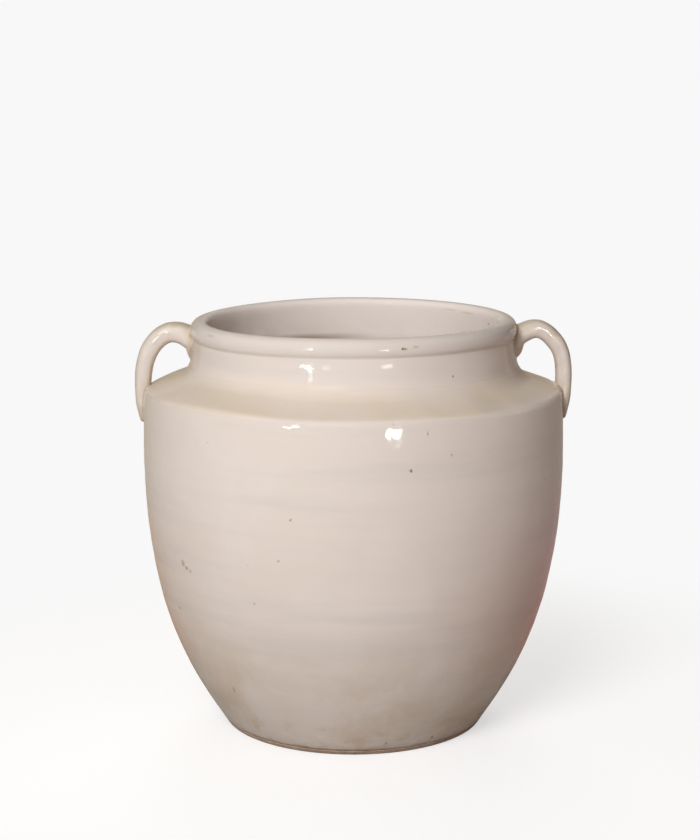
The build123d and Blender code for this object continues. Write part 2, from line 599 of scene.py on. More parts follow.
@dataclass(frozen=True)
class JarCoordinates:
    """Object coordinates of the jar, and what follows from them, in metres."""

    place: Socket
    across: Socket
    height: Socket
    radius: Socket

    @classmethod
    def on(cls, bench: NodeBench) -> "JarCoordinates":
        """Lays out the coordinates.

        Args:
            bench: The bench that they are laid out on.

        Returns:
            The coordinates.
        """
        place = bench.put("ShaderNodeTexCoord").outputs["Object"]
        parts = bench.put("ShaderNodeSeparateXYZ")
        bench.feed(parts.inputs[0], place)
        across, through, height = parts.outputs
        squares = bench.work("ADD", bench.product(across, across), bench.product(through, through))
        return cls(place, across, height, bench.work("SQRT", squares))


@dataclass(frozen=True)
class Mark:
    """Chip, spot or scuff in the glaze, at a place in metres and with a radius in millimetres."""

    place: Place
    radius: float
    paint: Paint
    strength: float = 0.8
    squeeze: Place = (1.0, 1.0, 1.0)


@dataclass(frozen=True)
class Joint:
    """Places in metres where the handles are luted on, with the stain's reach and depth."""

    places: tuple[Place, ...]
    reach: float
    depth: float


@dataclass(frozen=True)
class CreamGlaze:
    """Glossy cream glaze with soft mottling, faint rings and a few specks."""

    name: str = "cream_glaze"
    body: Paint = Paint(225, 212, 202)
    pale: Paint = Paint(230, 219, 211)
    grey: Paint = Paint(212, 203, 196)
    brown: Paint = Paint(104, 80, 62)
    index: float = 1.5
    dull: Cloud = Cloud(34.0, 4.0, 0.6, ramp=Ramp(0.3, 0.75, 0.03, 0.085))
    mottle: Cloud = Cloud(11.0, 5.0, 0.55, 0.4, Ramp(0.42, 0.72, 0.0, 0.6))
    rings: Cloud = Cloud(1.0, 4.0, 0.6, ramp=Ramp(0.44, 0.72, 0.0, 0.55))
    rings_scale: Place = (4.0, 4.0, 48.0)
    speck_scale: float = 95.0
    speck_chance: Ramp = Ramp(0.962, 0.966)
    speck_size: Ramp = Ramp(0.075, 0.03)
    speck_depth: float = 0.6
    ripple: Cloud = Cloud(60.0, 2.0, 0.4)
    ripple_depth: float = 0.0005
    peel: Cloud = Cloud(420.0, 2.0, 0.5)
    peel_depth: float = 0.00005
    relief_strength: float = 0.6

    def material(self) -> bpy.types.Material:
        """Lays out the glaze's nodes.

        Returns:
            The finished material.
        """
        bench = NodeBench(bpy.data.materials.new(self.name))
        jar = JarCoordinates.on(bench)
        shader = bench.put("ShaderNodeBsdfPrincipled")
        bench.feed(shader.inputs["Base Color"], self.stained(bench, jar, self.glazed(bench, jar)))
        bench.feed(shader.inputs["Roughness"], self.roughness(bench, jar))
        bench.feed(shader.inputs["IOR"], self.index)
        bench.feed(shader.inputs["Normal"], self.relief(bench, jar))
        return bench.show(shader)

    def glazed(self, bench: NodeBench, jar: JarCoordinates) -> Socket:
        """Colour of the clean glaze.

        Args:
            bench: The material's bench.
            jar: The jar's coordinates on it.

        Returns:
            The colour's socket.
        """
        colour = bench.mix(self.mottle.share(bench, jar.place), self.body, self.pale)
        rings = bench.vector_work("MULTIPLY", jar.place, self.rings_scale)
        colour = bench.mix(self.rings.share(bench, rings), colour, self.grey)
        speck = bench.put("ShaderNodeTexVoronoi", feature="F1")
        bench.feed(speck.inputs["Vector"], jar.place)
        bench.feed(speck.inputs["Scale"], self.speck_scale)
        chance = bench.put("ShaderNodeSeparateColor")
        bench.feed(chance.inputs[0], speck.outputs["Color"])
        rare = self.speck_chance.share(bench, chance.outputs[0])
        dot = self.speck_size.share(bench, speck.outputs["Distance"])
        return bench.mix(bench.product(dot, rare, self.speck_depth), colour, self.brown)

    def stained(self, bench: NodeBench, jar: JarCoordinates, colour: Socket) -> Socket:
        """Colour of the glaze with its stains, none on the plain glaze."""
        return colour

    def roughness(self, bench: NodeBench, jar: JarCoordinates) -> Socket:
        """Roughness of the glaze, duller in broad soft patches."""
        return self.dull.share(bench, jar.place)

    def relief(self, bench: NodeBench, jar: JarCoordinates) -> Socket:
        """Fine relief of the glaze's surface.

        Args:
            bench: The material's bench.
            jar: The jar's coordinates on it.

        Returns:
            The normal's socket.
        """
        strength = self.relief_strength
        coarse = bench.bump(self.ripple.plain(bench, jar.place), self.ripple_depth, strength)
        return bench.bump(self.peel.plain(bench, jar.place), self.peel_depth, strength, coarse)


@dataclass(frozen=True)
class PotGlaze(CreamGlaze):
    """Glaze of the pot: warm on the slope, stained low down, inside and at the handles, with painted
    shade on the rim, low on the right and inside.
    """

    name: str = "pot_glaze"
    warm: Paint = Paint(219, 203, 182)
    tan: Paint = Paint(189, 160, 128)
    olive: Paint = Paint(186, 170, 138)
    clay: Paint = Paint(150, 124, 100)
    inner_body_lightened: Paint = Paint(243, 231, 223)
    inner_stain_and_shade: Paint = Paint(152, 130, 106)
    # Greyer rim by height and on its outside: painted shade that tones down the light on the rim's
    # top
    rim_shade_height: Ramp = Ramp(0.336, 0.342, 0.0, 0.4)
    rim_shade_outside: Ramp = Ramp(0.1265, 0.131)
    # Warm pool on the slope, with a wavering edge
    warm_zone: Zone = Zone(Ramp(0.2915, 0.2965), Ramp(0.322, 0.298))
    warm_waver: Cloud = Cloud(9.0, 2.0, 0.5, ramp=Ramp(0.3, 0.7, -0.0016, 0.0016))
    warm_patch: Cloud = Cloud(24.0, 3.0, 0.5, ramp=Ramp(0.3, 0.68, 0.3, 1.0))
    # Tan stain that thickens downwards, and an olive film on the foot
    low_height: Ramp = Ramp(0.165, 0.002)
    low_patch: Cloud = Cloud(15.0, 5.0, 0.62, 0.6, Ramp(0.34, 0.74, 0.12, 1.0))
    low_depth: float = 0.54
    film_height: Ramp = Ramp(0.05, 0.012)
    film_patch: Cloud = Cloud(42.0, 4.0, 0.6, ramp=Ramp(0.5, 0.68, 0.0, 0.5))
    # Tan tone low on the right: painted shade and a painted warm reflection on that side
    right_shade_across: Ramp = Ramp(0.06, 0.15)
    right_shade_height: Ramp = Ramp(0.24, 0.10)
    right_shade_depth: float = 0.26
    # Grime at the glaze's lower edge, and the line under which the clay is bare
    edge_height: Ramp = Ramp(0.013, 0.0045)
    edge_patch: Cloud = Cloud(70.0, 4.0, 0.6, ramp=Ramp(0.3, 0.7))
    edge_depth: float = 0.55
    bare_height: Ramp = Ramp(0.0052, 0.0046)
    # Olive stain where the handles are luted on, full this near to the joint
    joints: tuple[Joint, ...] = (
        Joint(((-0.141, 0.0, 0.326), (0.141, 0.0, 0.328)), 0.058, 0.75),
        Joint(((-0.178, 0.0, 0.282), (0.178, 0.0, 0.284)), 0.045, 0.45),
    )
    joint_full: float = 0.010
    joint_patch: Cloud = Cloud(45.0, 4.0, 0.6, ramp=Ramp(0.3, 0.65, 0.25, 1.0))
    # Inside: paler glaze, partly painted light that lifts the shaded inside; a brown film, partly
    # stain and partly painted shade, deeper down and on the left; and a dark line under the neck,
    # partly stain and partly painted shade
    inner_light_depth: float = 0.8
    inner_film_shade_height: Ramp = Ramp(0.345, 0.300, 0.0, 0.8)
    inner_film_shade_left: Ramp = Ramp(0.0, -0.13, 0.2, 1.0)
    inner_film_patch: Cloud = Cloud(26.0, 5.0, 0.62, 0.6, Ramp(0.34, 0.66, 0.2, 1.0))
    shade_line_height: Ramp = Ramp(0.3225, 0.3165)
    shade_line_left: Ramp = Ramp(0.035, -0.05, 0.1, 0.8)
    # Duller glaze in the crease under the rim, on the slope, at the foot and on bare clay
    crease_height: Zone = Zone(Ramp(0.3350, 0.3366), Ramp(0.3402, 0.3388))
    crease_outside: Ramp = Ramp(0.130, 0.132)
    crease_dull: float = 0.3
    slope_height: Zone = Zone(Ramp(0.2915, 0.2945), Ramp(0.3180, 0.3090))
    slope_outside: Ramp = Ramp(0.136, 0.139)
    slope_dull: float = 0.31
    foot_height: Ramp = Ramp(0.040, 0.012)
    foot_dull: float = 0.25
    bare_dull: float = 0.6
    # Uneven edge of the marks, and where their paint starts and is full, in their radii
    mark_waver: Cloud = Cloud(700.0, 2.0, 0.5, ramp=Ramp(0.3, 0.7, -0.0006, 0.0006))
    mark_start: float = 1.25
    mark_full: float = 0.45
    marks: tuple[Mark, ...] = (
        # Brown chip on the rim with a grey smear beside it, and a grey streak on the left
        Mark((0.0397, -0.133, 0.3451), 2.8, Paint(150, 114, 82), 0.7, (1.0, 1.0, 2.4)),
        Mark((0.0384, -0.1335, 0.3451), 1.1, Paint(120, 88, 62), 0.7),
        Mark((0.0493, -0.1296, 0.3462), 3.0, Paint(172, 166, 164), 0.5, (1.0, 1.0, 2.6)),
        Mark((-0.117, -0.0737, 0.3468), 6.0, Paint(182, 176, 172), 0.45, (1.0, 0.8, 4.5)),
        # Spots on the wall
        Mark((0.0445, -0.1743, 0.2553), 1.2, Paint(112, 86, 70), 0.9),
        Mark((0.0770, -0.1623, 0.2655), 1.0, Paint(140, 118, 104), 0.75),
        Mark((0.0577, -0.1692, 0.2837), 0.9, Paint(140, 122, 108), 0.7, (1.6, 1.6, 0.7)),
        Mark((0.0303, -0.1749, 0.2927), 0.9, Paint(146, 132, 116), 0.7),
        Mark((0.0797, -0.1140, 0.3195), 0.9, Paint(136, 112, 98), 0.8, (1.4, 1.4, 0.7)),
        Mark((-0.0500, -0.1723, 0.2156), 1.1, Paint(122, 104, 94), 0.75),
        Mark((-0.0598, -0.1668, 0.1810), 0.9, Paint(132, 112, 100), 0.7),
        Mark((-0.0798, -0.1523, 0.1417), 1.0, Paint(136, 114, 98), 0.7),
        # Scuff and scratches low on the left
        Mark((-0.1401, -0.1058, 0.1633), 2.6, Paint(164, 152, 132), 0.7, (1.0, 1.0, 0.8)),
        Mark((-0.1370, -0.1092, 0.1600), 2.2, Paint(150, 136, 114), 0.6),
        Mark((-0.1339, -0.1125, 0.1583), 1.6, Paint(160, 146, 126), 0.6),
        Mark((-0.1452, -0.0831, 0.1185), 3.4, Paint(154, 134, 112), 0.5, (0.5, 1.6, 2.2)),
        Mark((-0.0995, -0.1037, 0.0537), 3.2, Paint(160, 138, 116), 0.55, (1.8, 1.8, 0.6)),
        # Speck and faint line inside, specks at the foot
        Mark((0.1180, 0.0414, 0.3407), 1.2, Paint(140, 108, 88), 0.8, (1.3, 1.3, 0.8)),
        Mark((0.0870, 0.0894, 0.3470), 9.0, Paint(186, 160, 138), 0.22, (1.0, 1.0, 9.0)),
        Mark((0.1020, 0.0720, 0.3462), 11.0, Paint(180, 154, 130), 0.24, (1.0, 1.0, 9.0)),
        Mark((0.0657, -0.0994, 0.0111), 1.4, Paint(92, 70, 56), 0.8),
        Mark((0.0269, -0.1168, 0.0121), 3.0, Paint(150, 104, 82), 0.5, (2.2, 2.2, 0.6)),
    )

    def stained(self, bench: NodeBench, jar: JarCoordinates, colour: Socket) -> Socket:
        """Colour of the pot's glaze with its stains, and painted shade on the rim, low on the right
        and inside.

        Args:
            bench: The material's bench.
            jar: The jar's coordinates on it.
            colour: The clean glaze.

        Returns:
            The colour's socket.
        """
        # Painted shade: the rim is greyed where its rounded top faces the light
        outside = self.rim_shade_outside.share(bench, jar.radius)
        rim = bench.product(self.rim_shade_height.share(bench, jar.height), outside)
        colour = bench.mix(rim, colour, self.grey)
        colour = self.warmed(bench, jar, colour)
        colour = self.low_stained_and_shaded(bench, jar, colour)
        colour = self.joint_stained(bench, jar, colour)
        colour = self.inside_stained_and_shaded(bench, jar, colour)
        return self.marked(bench, jar, colour)

    def warmed(self, bench: NodeBench, jar: JarCoordinates, colour: Socket) -> Socket:
        """Warm glaze on the slope, with a crisp lower edge and a soft upper one.

        Args:
            bench: The material's bench.
            jar: The jar's coordinates on it.
            colour: The colour under it.

        Returns:
            The colour's socket.
        """
        height = bench.work("ADD", jar.height, self.warm_waver.share(bench, jar.place))
        slope = self.warm_zone.share(bench, height)
        share = bench.product(slope, self.warm_patch.share(bench, jar.place))
        return bench.mix(share, colour, self.warm)

    def low_stained_and_shaded(self, bench: NodeBench, jar: JarCoordinates, colour: Socket) -> Socket:
        """Stains that thicken towards the foot, painted shade low on the right, and bare clay under
        the line.

        Args:
            bench: The material's bench.
            jar: The jar's coordinates on it.
            colour: The colour under it.

        Returns:
            The colour's socket.
        """
        low = self.low_height.share(bench, jar.height)
        patch = self.low_patch.share(bench, jar.place)
        colour = bench.mix(bench.product(low, patch, self.low_depth), colour, self.tan)
        film = self.film_patch.share(bench, jar.place)
        share = bench.product(self.film_height.share(bench, jar.height), film)
        colour = bench.mix(share, colour, self.olive)
        # Painted shade: a tan tone low on the right side, where it falls away from the light
        right = self.right_shade_across.share(bench, jar.across)
        below = self.right_shade_height.share(bench, jar.height)
        colour = bench.mix(bench.product(right, below, self.right_shade_depth), colour, self.tan)
        grime = self.edge_patch.share(bench, jar.place)
        edge = self.edge_height.share(bench, jar.height)
        colour = bench.mix(bench.product(edge, grime, self.edge_depth), colour, self.clay)
        return bench.mix(self.bare_height.share(bench, jar.height), colour, self.clay)

    def joint_stained(self, bench: NodeBench, jar: JarCoordinates, colour: Socket) -> Socket:
        """Olive stain round the places where the handles are luted on.

        Args:
            bench: The material's bench.
            jar: The jar's coordinates on it.
            colour: The colour under it.

        Returns:
            The colour's socket.
        """
        patch = self.joint_patch.share(bench, jar.place)
        for joint in self.joints:
            for place in joint.places:
                away = bench.measure("DISTANCE", jar.place, place)
                near = bench.fade(away, joint.reach, self.joint_full)
                colour = bench.mix(bench.product(near, patch, joint.depth), colour, self.olive)
        return colour

    def inside_stained_and_shaded(self, bench: NodeBench, jar: JarCoordinates, colour: Socket) -> Socket:
        """Paler glaze inside, partly painted light; a brown film, partly stain and partly painted
        shade, thicker low down and on the left; and a dark line under the neck, partly stain and
        partly painted shade.

        Args:
            bench: The material's bench.
            jar: The jar's coordinates on it.
            colour: The colour under it.

        Returns:
            The colour's socket.
        """
        inside = bench.put("ShaderNodeAttribute", attribute_name="inside").outputs["Fac"]
        # Partly painted light: the inside is made paler to lift its shade
        colour = bench.mix(bench.product(inside, self.inner_light_depth), colour, self.inner_body_lightened)
        # Partly stain, partly painted shade: darker deep down and on the shaded left
        deep_shade = self.inner_film_shade_height.share(bench, jar.height)
        left = self.inner_film_shade_left.share(bench, jar.across)
        patch = self.inner_film_patch.share(bench, jar.place)
        colour = bench.mix(bench.product(deep_shade, left, patch, inside), colour, self.inner_stain_and_shade)
        # Partly stain, partly painted shade: a dark line under the neck on the left
        line = self.shade_line_height.share(bench, jar.height)
        left = self.shade_line_left.share(bench, jar.across)
        return bench.mix(bench.product(line, left, inside), colour, self.clay)

    def marked(self, bench: NodeBench, jar: JarCoordinates, colour: Socket) -> Socket:
        """Chips, spots and scuffs at their places, with uneven edges.

        Args:
            bench: The material's bench.
            jar: The jar's coordinates on it.
            colour: The colour under them.

        Returns:
            The colour's socket.
        """
        waver = self.mark_waver.share(bench, jar.place)
        for mark in self.marks:
            offset = bench.vector_work("SUBTRACT", jar.place, mark.place)
            squeezed = bench.vector_work("MULTIPLY", offset, mark.squeeze)
            away = bench.work("ADD", bench.measure("LENGTH", squeezed), waver)
            start, full = mark.radius * self.mark_start * MM, mark.radius * self.mark_full * MM
            colour = bench.mix(bench.fade(away, start, full, 0.0, mark.strength), colour, mark.paint)
        return colour

    def roughness(self, bench: NodeBench, jar: JarCoordinates) -> Socket:
        """Roughness of the glaze, duller in the crease and on the slope, and of the bare clay.

        Args:
            bench: The material's bench.
            jar: The jar's coordinates on it.

        Returns:
            The roughness's socket.
        """
        outside = self.crease_outside.share(bench, jar.radius)
        crease = bench.product(self.crease_height.share(bench, jar.height), outside)
        outside = self.slope_outside.share(bench, jar.radius)
        slope = bench.product(self.slope_height.share(bench, jar.height), outside)
        foot = self.foot_height.share(bench, jar.height)
        bare = self.bare_height.share(bench, jar.height)
        rough = super().roughness(bench, jar)
        for share, added in (
            (bare, self.bare_dull),
            (foot, self.foot_dull),
            (crease, self.crease_dull),
            (slope, self.slope_dull),
        ):
            rough = bench.work("MULTIPLY_ADD", share, added, rough)
        return rough


@dataclass(frozen=True)
class HandleGlaze(CreamGlaze):
    """Glaze of the handles: a shade darker overall as painted shade, thin and olive on their backs,
    stained brown in the joints.
    """

    name: str = "handle_glaze"
    # A shade darker than the pot's glaze: painted shade against the light on the top-lit crowns
    body: Paint = Paint(216, 203, 192)
    pale: Paint = Paint(223, 211, 202)
    olive: Paint = Paint(194, 178, 148)
    rust: Paint = Paint(138, 98, 74)
    dull: Cloud = Cloud(34.0, 4.0, 0.6, ramp=Ramp(0.3, 0.75, 0.26, 0.36))
    # Glossier places on the crowns
    shine: float = 0.12
    shine_places: tuple[Place, ...] = ((-0.1662, -0.009, 0.338), (0.164, -0.009, 0.3417))
    shine_near: Ramp = Ramp(0.011, 0.0066)
    # Olive on the back, near the joints and in blotches
    stain_patch: Cloud = Cloud(60.0, 5.0, 0.6, 0.4, Ramp(0.3, 0.7, 0.2, 1.0))
    back: Ramp = Ramp(0.3, 0.85, 0.0, 0.85)
    near_joint: Ramp = Ramp(0.1, 0.8, 0.0, 0.65)
    blotch: Cloud = Cloud(38.0, 4.0, 0.65, ramp=Ramp(0.48, 0.72, 0.0, 0.65))
    # Rust in the crease of the joint
    crease: Zone = Zone(Ramp(0.74, 0.88), Ramp(0.98, 0.94))
    crease_depth: float = 0.45
    vein: Cloud = Cloud(90.0, 3.0, 0.6, ramp=Ramp(0.35, 0.65, 0.2, 1.0))

    def stained(self, bench: NodeBench, jar: JarCoordinates, colour: Socket) -> Socket:
        """Colour of the handles with their stains.

        Args:
            bench: The material's bench.
            jar: The jar's coordinates on it.
            colour: The clean glaze.

        Returns:
            The colour's socket.
        """
        outer = bench.put("ShaderNodeAttribute", attribute_name="outer").outputs["Fac"]
        joint = bench.put("ShaderNodeAttribute", attribute_name="joint").outputs["Fac"]
        patch = self.stain_patch.share(bench, jar.place)
        for share in (self.back.share(bench, outer), self.near_joint.share(bench, joint)):
            colour = bench.mix(bench.product(share, patch), colour, self.olive)
        colour = bench.mix(self.blotch.share(bench, jar.place), colour, self.olive)
        vein = self.vein.share(bench, jar.place)
        crease = bench.product(self.crease.share(bench, joint), self.crease_depth, vein)
        return bench.mix(crease, colour, self.rust)

    def roughness(self, bench: NodeBench, jar: JarCoordinates) -> Socket:
        """Roughness of the handles' dull glaze, glossier at the crowns.

        Args:
            bench: The material's bench.
            jar: The jar's coordinates on it.

        Returns:
            The roughness's socket.
        """
        rough = super().roughness(bench, jar)
        for place in self.shine_places:
            away = bench.measure("DISTANCE", jar.place, place)
            near = self.shine_near.share(bench, away)
            change = bench.work("SUBTRACT", self.shine, rough)
            rough = bench.work("MULTIPLY_ADD", near, change, rough)
        return rough


@dataclass(frozen=True)
class BareClay:
    """Unglazed, stained clay of the standing band and the underside."""

    name: str = "bare_clay"
    body: Paint = Paint(168, 141, 121)
    dark: Paint = Paint(112, 84, 70)
    pale: Paint = Paint(190, 166, 146)
    patch: Cloud = Cloud(40.0, 6.0, 0.65, 0.8)
    patch_paint: Ramp = Ramp(0.35, 0.7)
    patch_depth: float = 0.0006
    patch_strength: float = 0.6
    grime: Cloud = Cloud(120.0, 5.0, 0.7)
    grime_paint: Ramp = Ramp(0.5, 0.78, 0.0, 0.8)
    dull: Ramp = Ramp(0.3, 0.8, 0.62, 0.9)
    grain: Cloud = Cloud(900.0, 4.0, 0.6)
    grain_depth: float = 0.0002
    grain_strength: float = 0.7

    def material(self) -> bpy.types.Material:
        """Lays out the clay's nodes.

        Returns:
            The finished material.
        """
        bench = NodeBench(bpy.data.materials.new(self.name))
        jar = JarCoordinates.on(bench)
        patch = self.patch.plain(bench, jar.place)
        colour = bench.mix(self.patch_paint.share(bench, patch), self.body, self.pale)
        grime = self.grime.plain(bench, jar.place)
        colour = bench.mix(self.grime_paint.share(bench, grime), colour, self.dark)
        shader = bench.put("ShaderNodeBsdfPrincipled")
        bench.feed(shader.inputs["Base Color"], colour)
        bench.feed(shader.inputs["Roughness"], self.dull.share(bench, grime))
        grain = self.grain.plain(bench, jar.place)
        grain = bench.bump(grain, self.grain_depth, self.grain_strength)
        relief = bench.bump(patch, self.patch_depth, self.patch_strength, grain)
        bench.feed(shader.inputs["Normal"], relief)
        return bench.show(shader)


# ---------------------------------------------------------------- the pot


@dataclass(frozen=True)
class ThrownPot:
    """Glazed body of the jar: wall, shoulder, neck and rolled rim, outside and inside."""

    name: str = "glazed_pot"
    groove_height: float = 4.9
    # How far a normal faces the axis where the inside begins and is full
    inside_from: Span = (-0.05, 0.4)
    # The curve down to the floor, all of which is inside
    floor_reach: float = 118.0
    floor_top: float = 15.5
    unevenness: HandUnevenness = HandUnevenness()

    def outer_knots(self) -> list[Knot]:
        """Outer line from the foot's groove up to the crease under the rim.

        Returns:
            The line's knots.
        """
        return [
            Knot(115.2, 5.0, (0.64, 1.0), (0.64, 1.0), 2.4),
            Knot(126.144, 22.002, (0.62, 1.0), None, 2.4),
            Knot(155.112, 80.028, (0.3811, 1.0), None, 2.4),
            Knot(176.192, 170.088, (0.1173, 1.0), None, 2.4),
            Knot(180.0, 228.0, (0.0182, 1.0), None, 2.4),
            Knot(179.4, 272.0, (-0.036, 1.0), None, 1.8),
            Knot(178.35, 287.8, (-0.10, 1.0), None, 0.8),
            Knot(178.03, 290.2, (-0.165, 0.986), None, 0.8),
            Knot(173.106, 294.981, (-0.9397, 0.342), None, 2.2),
            Knot(151.5, 302.85, (-0.9397, 0.342), None, 1.1),
            Knot(139.35, 317.4, (-0.19, 0.982), None, 1.6),
            Knot(136.86, 336.3, (-0.075, 0.997), None, 0.6),
        ]

    def rim_knots(self) -> list[Knot]:
        """Rolled rim, from the crease over the top into the mouth.

        Returns:
            The line's knots.
        """
        return [
            Knot(137.45, 338.55, (0.637, 0.771), None, 0.8),
            Knot(139.0, 344.012, (0.0, 1.0), None, 0.8),
            Knot(138.6, 347.2, (-0.22, 0.975), None, 0.8),
            Knot(131.4, 353.0, (-1.0, 0.02), None, 1.2),
            Knot(128.6, 352.75, (-1.0, -0.16), None, 0.8),
            Knot(124.55, 347.8, (-0.04, -1.0), None, 1.6),
        ]

    def inner_knots(self) -> list[Knot]:
        """Inner line from the mouth down to the floor's edge and back to the groove.

        Returns:
            The line's knots.
        """
        return [
            Knot(125.2, 338.0, (0.09, -1.0), None, 1.6),
            Knot(126.8, 320.0, (0.05, -1.0), None, 1.8),
            Knot(127.0, 308.655, (0.0, -1.0), None, 1.4),
            Knot(133.58, 299.258, (0.9397, -0.342), None, 2.6),
            Knot(162.03, 288.903, (0.9397, -0.342), None, 1.4),
            Knot(169.3, 279.0, (0.06, -1.0), None, 3.2),
            Knot(170.5, 228.0, (-0.0315, -1.0), None, 4.4),
            Knot(165.295, 170.088, (-0.1403, -1.0), None, 4.4),
            Knot(142.042, 80.028, (-0.4291, -1.0), None, 4.4),
            Knot(114.053, 27.0, (-0.5774, -1.0), None, 2.0),
            Knot(95.0, 16.0, (-1.0, 0.0), (0.0, -1.0), 4.0),
            Knot(95.0, 12.0, (0.0, -1.0), (-1.0, 0.0), 4.0),
            Knot(92.0, 12.0, (-1.0, 0.0), (0.0, -1.0), 8.0),
            Knot(92.0, self.groove_height, (0.0, -1.0), (1.0, 0.0), 24.0),
            Knot(114.2, self.groove_height, (1.0, 0.0), (1.0, 0.05), 1.0),
        ]

    def shell(self) -> bmesh.types.BMesh:
        """Turns the whole pot and lets it settle.

        Returns:
            The closed shell.
        """
        knots = self.outer_knots() + self.rim_knots() + self.inner_knots()
        form = TurnedLine(tuple(knots)).turned()
        self.unevenness.settle(form)
        return form

    def build(self, finish: bpy.types.Material) -> bpy.types.Object:
        """Makes the dressed piece and hides the parts of the model that it stands for.

        Args:
            finish: The glaze.

        Returns:
            The piece.
        """
        piece = piece_from(self.shell(), self.name)
        self.note_inside(piece.data)
        piece.data.materials.append(finish)
        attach(piece, "root")
        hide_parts("lower_wall", "upper_wall", "shoulder", "neck", "rim", "foot_ring")
        return piece

    def note_inside(self, mesh: bpy.types.Mesh) -> None:
        """Writes how far each point belongs to the inside, for the stains.

        Args:
            mesh: The pot's mesh.
        """
        values = []
        for vert in mesh.vertices:
            place, normal = vert.co, vert.normal
            radius = math.hypot(place.x, place.y)
            outward = (normal.x * place.x + normal.y * place.y) / radius
            share = eased(-outward, *self.inside_from)
            if radius < self.floor_reach * MM and place.z > self.floor_top * MM:
                share = 1.0
            values.append(share)
        layer = mesh.attributes.new("inside", "FLOAT", "POINT")
        layer.data.foreach_set("value", values)


@dataclass(frozen=True)
class StandingBand:
    """Bare turned band that the jar stands on, under its incised line."""

    name: str = "standing_band"

    def knots(self) -> tuple[Knot, ...]:
        """Closed line of the band's section.

        Returns:
            The line's knots.
        """
        return (
            Knot(92.0, 0.6, (0.0, -1.0), (0.7, -0.7), 1.0),
            Knot(92.6, 0.0, (0.7, -0.7), (1.0, 0.0), 4.0),
            Knot(111.0, 0.0, (1.0, 0.0), (1.0, 0.0), 0.6),
            Knot(112.9, 1.3, (0.64, 1.0), (0.64, 1.0), 0.8),
            Knot(114.5, 3.8, (0.64, 1.0), (-0.2, 1.0), 0.4),
            Knot(113.9, 4.6, (-0.8, 0.6), (-1.0, 0.0), 6.0),
            Knot(92.0, 4.6, (-1.0, 0.0), (0.0, -1.0), 2.0),
        )

    def build(self, finish: bpy.types.Material) -> bpy.types.Object:
        """Makes the dressed band.

        Args:
            finish: The bare clay.

        Returns:
            The piece.
        """
        piece = piece_from(TurnedLine(self.knots()).turned(), self.name)
        piece.data.materials.append(finish)
        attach(piece, "root")
        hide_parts("foot_ring")
        return piece


# ---------------------------------------------------------------- handles


@dataclass(frozen=True)
class CoilStation:
    """One oval of a handle's coil, with the direction of the coil through it."""

    radius: float
    height: float
    along: Direction
    thickness: float
    width: float

    def place(self) -> Vector:
        """Middle of the oval, in metres, for a handle on the right."""
        return Vector((self.radius * MM, 0.0, self.height * MM))

    def heading(self) -> Vector:
        """Unit direction of the coil at the oval."""
        return Vector((self.along[0], 0.0, self.along[1])).normalized()


@dataclass(frozen=True)
class Lobe:
    """Rounded pad, roll or ridge of clay that lutes the coil to the pot."""

    radius: float
    height: float
    depth: float
    width: float
    length: float
    through: float = 0.0
    tilt: float = 0.0
    segments: int = 40
    rings: int = 24

    def add_to(self, form: bmesh.types.BMesh) -> None:
        """Adds the pad to a mesh, in the place for a handle on the right.

        Args:
            form: The mesh that takes it.
        """
        size = (self.depth * MM, self.width / 2.0 * MM, self.length / 2.0 * MM, 1.0)
        place = Matrix.Translation((self.radius * MM, self.through * MM, self.height * MM))
        turn = Matrix.Rotation(math.radians(self.tilt), 4, "Y")
        bmesh.ops.create_uvsphere(
            form,
            u_segments=self.segments,
            v_segments=self.rings,
            radius=1.0,
            matrix=place @ turn @ Matrix.Diagonal(size),
        )


@dataclass(frozen=True)
class WallSkin:
    """Thin skin over the pot's wall from which a luted joint rises softly."""

    height: float
    half_round: float
    half_high: float
    lift: float = 0.12
    sink: float = 0.9
    sink_power: int = 3
    thickness: float = 3.0
    # Share of a point that the skin leaves out, and how far a normal may face inwards
    left_out: float = 9.0
    inward: float = 0.02

    def add_to(self, form: bmesh.types.BMesh, pot: bmesh.types.BMesh, side: Side) -> None:
        """Adds the skin, cut from the pot's own outer face.

        Args:
            form: The mesh that takes the skin.
            pot: The finished shell of the pot.
            side: The side of the jar.
        """
        skin = pot.copy()
        far = [vert for vert in skin.verts if self.share(vert, side) > 1.0]
        bmesh.ops.delete(skin, geom=far, context="VERTS")
        for vert in skin.verts:
            share = self.share(vert, side)
            vert.co += vert.normal * (self.lift - self.sink * share**self.sink_power) * MM
        inner = bmesh.ops.extrude_face_region(skin, geom=skin.faces[:], use_keep_orig=True)["geom"]
        for vert in inner:
            if isinstance(vert, bmesh.types.BMVert):
                vert.co.x -= side.value * self.thickness * MM
        bmesh.ops.recalc_face_normals(skin, faces=skin.faces[:])
        mesh = bpy.data.meshes.new("wall_skin")
        skin.to_mesh(mesh)
        skin.free()
        form.from_mesh(mesh)
        bpy.data.meshes.remove(mesh)

    def share(self, vert: bmesh.types.BMVert, side: Side) -> float:
        """How far a point lies from the skin's middle, 1 at its border and more beyond.

        Args:
            vert: The point.
            side: The side of the jar.

        Returns:
            The share, large for points of the pot's inner face.
        """
        place = vert.co
        outward = vert.normal.x * place.x + vert.normal.y * place.y
        if place.x * side.value < 0.0 or outward < -self.inward * MM:
            return self.left_out
        round_share = place.y / MM / self.half_round
        high_share = (place.z / MM - self.height) / self.half_high
        return math.hypot(round_share, high_share)


